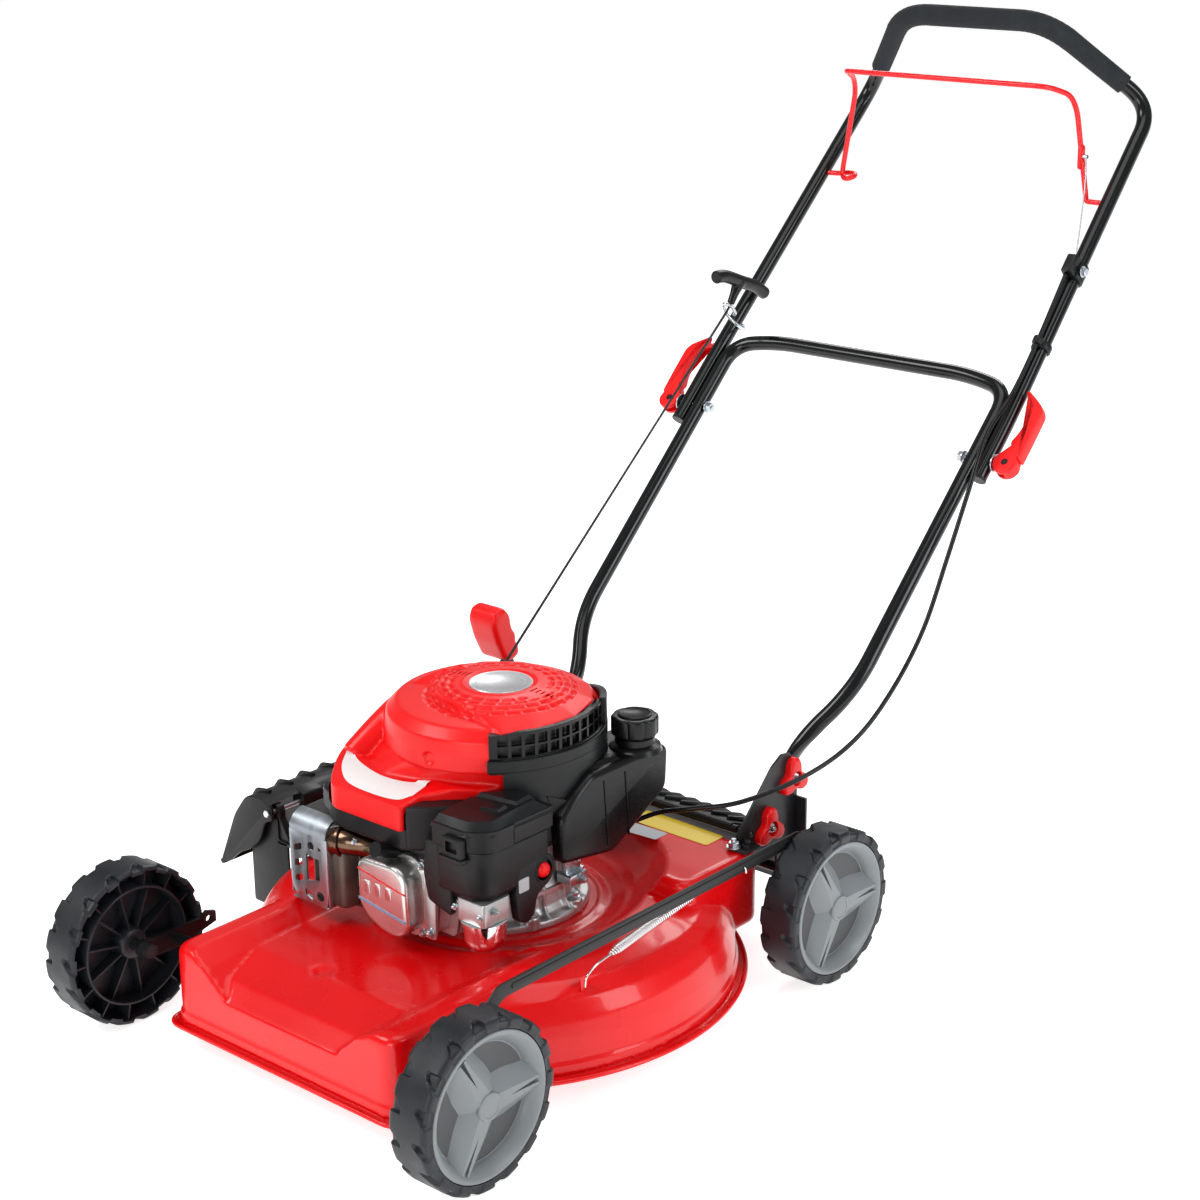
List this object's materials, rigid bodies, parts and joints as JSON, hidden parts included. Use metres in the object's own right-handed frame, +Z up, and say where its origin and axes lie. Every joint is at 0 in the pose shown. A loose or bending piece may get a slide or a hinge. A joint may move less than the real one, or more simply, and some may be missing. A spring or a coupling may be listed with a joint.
{
  "type": "push lawn mower",
  "caption": "Walk-behind petrol push lawn mower with a red side-discharge deck, small treaded wheels, recoil-start engine and folding tube handle with a foam grip and brake bail.",
  "frame": {"origin": "bottom centre of the bounding box, on the ground under the mower", "axes": "+Z up, the front of the mower faces -Y, the operator's left side is +X"},
  "size_m": [0.6374, 1.3688, 1.0073],
  "materials": {
    "red_paint": "gloss powder coat",
    "red_plastic": "moulded, semi gloss",
    "black_paint": "semi gloss powder coat",
    "black_plastic": "moulded, fine grain",
    "tyre_rubber": "matt rubber",
    "foam": "closed cell foam",
    "grey_plastic": "moulded",
    "steel": "plated",
    "aluminium": "as cast",
    "hot_steel": "heat stained",
    "cord": "braided"
  },
  "bodies": {
    "frame": {"deck_shell": "red_paint", "chute_duct": "black_plastic", "chute_rod": "steel", "handle_bracket_left": "black_paint", "handle_bracket_right": "black_paint", "height_quadrant": "black_paint", "lower_handle": "black_paint", "engine_block": "aluminium", "valve_cover": "steel", "spark_plug": "black_plastic", "muffler_body": "hot_steel", "muffler_guard": "steel", "exhaust_elbow": "steel", "carburettor": "aluminium", "air_filter_box": "black_plastic", "fuel_tank": "black_plastic", "blower_shroud": "black_plastic", "engine_cowl": "red_plastic", "brake_cable": "black_plastic", "starter_rope": "cord"},
    "rotor": {"crankshaft": "steel", "flywheel": "aluminium", "blade_adapter": "steel", "blade": "black_paint", "blade_bolt": "steel"},
    "rear_crank": {"rear_axle": "black_paint", "height_lever_grip": "red_plastic"},
    "front_crank": {"front_axle": "black_paint"},
    "tie": {"tie_bar": "black_paint", "assist_spring": "steel"},
    "wheel_front_left": {"tyre_front_left": "tyre_rubber", "wheel_cover_front_left": "grey_plastic"},
    "wheel_front_right": {"tyre_front_right": "tyre_rubber", "wheel_cover_front_right": "grey_plastic"},
    "wheel_rear_left": {"tyre_rear_left": "tyre_rubber", "wheel_cover_rear_left": "grey_plastic"},
    "wheel_rear_right": {"tyre_rear_right": "tyre_rubber", "wheel_cover_rear_right": "grey_plastic"},
    "flap": {"chute_flap": "black_plastic"},
    "guard": {"rear_guard": "black_plastic"},
    "handle": {"upper_handle": "black_paint", "foam_grip": "foam", "rope_guide": "steel", "cable_clamp": "black_plastic", "brake_wire": "steel", "cam_bolt_left": "steel", "cam_bolt_right": "steel"},
    "bail": {"brake_bail": "red_paint"},
    "cam_left": {"cam_lever_left": "red_plastic"},
    "cam_right": {"cam_lever_right": "red_plastic"},
    "pull": {"starter_handle": "black_plastic"},
    "pulley": {"recoil_pulley": "black_plastic"},
    "cap": {"fuel_cap": "black_plastic"},
    "stick": {"dipstick": "black_plastic"},
    "primer": {"primer_bulb": "red_plastic"},
    "filter_lid": {"air_filter_cover": "black_plastic"},
    "clamp_lower_left": {"knob_lower_left": "red_plastic"},
    "clamp_lower_right": {"knob_lower_right": "red_plastic"},
    "clamp_upper_left": {"knob_upper_left": "red_plastic"},
    "clamp_upper_right": {"knob_upper_right": "red_plastic"}
  },
  "joints": [
    {"name": "rotor_spin", "type": "hinge", "parent": "frame", "child": "rotor", "pos_m": [0.03325, -0.2874, 0.15], "axis": [0, 0, 1], "continuous": true},
    {"name": "rear_height", "type": "hinge", "parent": "frame", "child": "rear_crank", "pos_m": [0.03325, 0.0006, 0.089], "axis": [1, 0, 0], "range_deg": [-20, 20], "deforming": ["assist_spring"]},
    {"name": "front_height", "type": "hinge", "parent": "frame", "child": "front_crank", "pos_m": [0.03325, -0.5554, 0.089], "axis": [1, 0, 0], "range_deg": [-20, 20]},
    {"name": "tie_pivot", "type": "hinge", "parent": "rear_crank", "child": "tie", "pos_m": [0.26625, -0.0134, 0.129], "axis": [1, 0, 0], "range_deg": [-20, 20]},
    {"name": "wheel_front_left_spin", "type": "hinge", "parent": "front_crank", "child": "wheel_front_left", "pos_m": [0.29525, -0.5954, 0.089], "axis": [1, 0, 0], "continuous": true},
    {"name": "wheel_front_right_spin", "type": "hinge", "parent": "front_crank", "child": "wheel_front_right", "pos_m": [-0.22875, -0.5954, 0.089], "axis": [1, 0, 0], "continuous": true},
    {"name": "wheel_rear_left_spin", "type": "hinge", "parent": "rear_crank", "child": "wheel_rear_left", "pos_m": [0.29525, -0.0394, 0.089], "axis": [1, 0, 0], "continuous": true},
    {"name": "wheel_rear_right_spin", "type": "hinge", "parent": "rear_crank", "child": "wheel_rear_right", "pos_m": [-0.22875, -0.0394, 0.089], "axis": [1, 0, 0], "continuous": true},
    {"name": "flap_hinge", "type": "hinge", "parent": "frame", "child": "flap", "pos_m": [-0.22875, -0.2874, 0.168], "axis": [0, 1, 0], "range_deg": [0, 70], "stiffness_Nm_per_rad": 0.5, "springref_deg": -17.19},
    {"name": "guard_hinge", "type": "hinge", "parent": "frame", "child": "guard", "pos_m": [0.03325, -0.0654, 0.157], "axis": [1, 0, 0], "range_deg": [0, 55]},
    {"name": "handle_fold", "type": "hinge", "parent": "frame", "child": "handle", "pos_m": [0.03325, 0.3156, 0.5165], "axis": [1, 0, 0], "range_deg": [0, 120], "deforming": ["brake_cable", "starter_rope"]},
    {"name": "bail_hinge", "type": "hinge", "parent": "handle", "child": "bail", "pos_m": [0.03325, 0.5846, 0.784], "axis": [-1, 0, 0], "range_deg": [0, 40], "stiffness_Nm_per_rad": 1, "springref_deg": -17.19, "deforming": ["brake_wire"]},
    {"name": "cam_left_turn", "type": "hinge", "parent": "handle", "child": "cam_left", "pos_m": [0.28755, 0.3156, 0.5165], "axis": [0, 0.7091, -0.7051], "range_deg": [0, 90]},
    {"name": "cam_right_turn", "type": "hinge", "parent": "handle", "child": "cam_right", "pos_m": [-0.22105, 0.3156, 0.5165], "axis": [0, -0.7091, 0.7051], "range_deg": [0, 90]},
    {"name": "knob_lower_left_turn", "type": "hinge", "parent": "frame", "child": "clamp_lower_left", "pos_m": [0.21625, -0.0374, 0.157], "axis": [1, 0, 0], "continuous": true},
    {"name": "knob_lower_right_turn", "type": "hinge", "parent": "frame", "child": "clamp_lower_right", "pos_m": [-0.14975, -0.0374, 0.157], "axis": [1, 0, 0], "continuous": true},
    {"name": "knob_upper_left_turn", "type": "hinge", "parent": "frame", "child": "clamp_upper_left", "pos_m": [0.21625, 0.0056, 0.204], "axis": [1, 0, 0], "continuous": true},
    {"name": "knob_upper_right_turn", "type": "hinge", "parent": "frame", "child": "clamp_upper_right", "pos_m": [-0.14975, 0.0056, 0.204], "axis": [1, 0, 0], "continuous": true},
    {"name": "starter_pull", "type": "slide", "parent": "handle", "child": "pull", "axis": [0, 0.5501, 0.8351], "range_m": [0, 0.35], "deforming": ["starter_rope"]},
    {"name": "pulley_spin", "type": "hinge", "parent": "frame", "child": "pulley", "pos_m": [0.03325, -0.2874, 0.33], "axis": [0, 0, 1], "range_deg": [-620, 620]},
    {"name": "cap_turn", "type": "hinge", "parent": "frame", "child": "cap", "pos_m": [0.14525, -0.1854, 0.305], "axis": [0, 0, 1], "range_deg": [0, 90]},
    {"name": "dipstick_turn", "type": "hinge", "parent": "frame", "child": "stick", "pos_m": [-0.03355, -0.2044, 0.176], "axis": [-0.3369, 0.4211, 0.8422], "range_deg": [0, 120]},
    {"name": "primer_press", "type": "slide", "parent": "frame", "child": "primer", "axis": [-1, 0, 0], "range_m": [0, 0.003], "stiffness_N_per_m": 800},
    {"name": "filter_lid_lift", "type": "slide", "parent": "frame", "child": "filter_lid", "axis": [0, 0, 1], "range_m": [0, 0.04]}
  ],
  "couplings": [
    {"joint": "front_height", "follows": "rear_height", "ratio": 1},
    {"joint": "tie_pivot", "follows": "rear_height", "ratio": -1},
    {"joint": "pulley_spin", "follows": "starter_pull", "rad_per_m": 29.4}
  ]
}
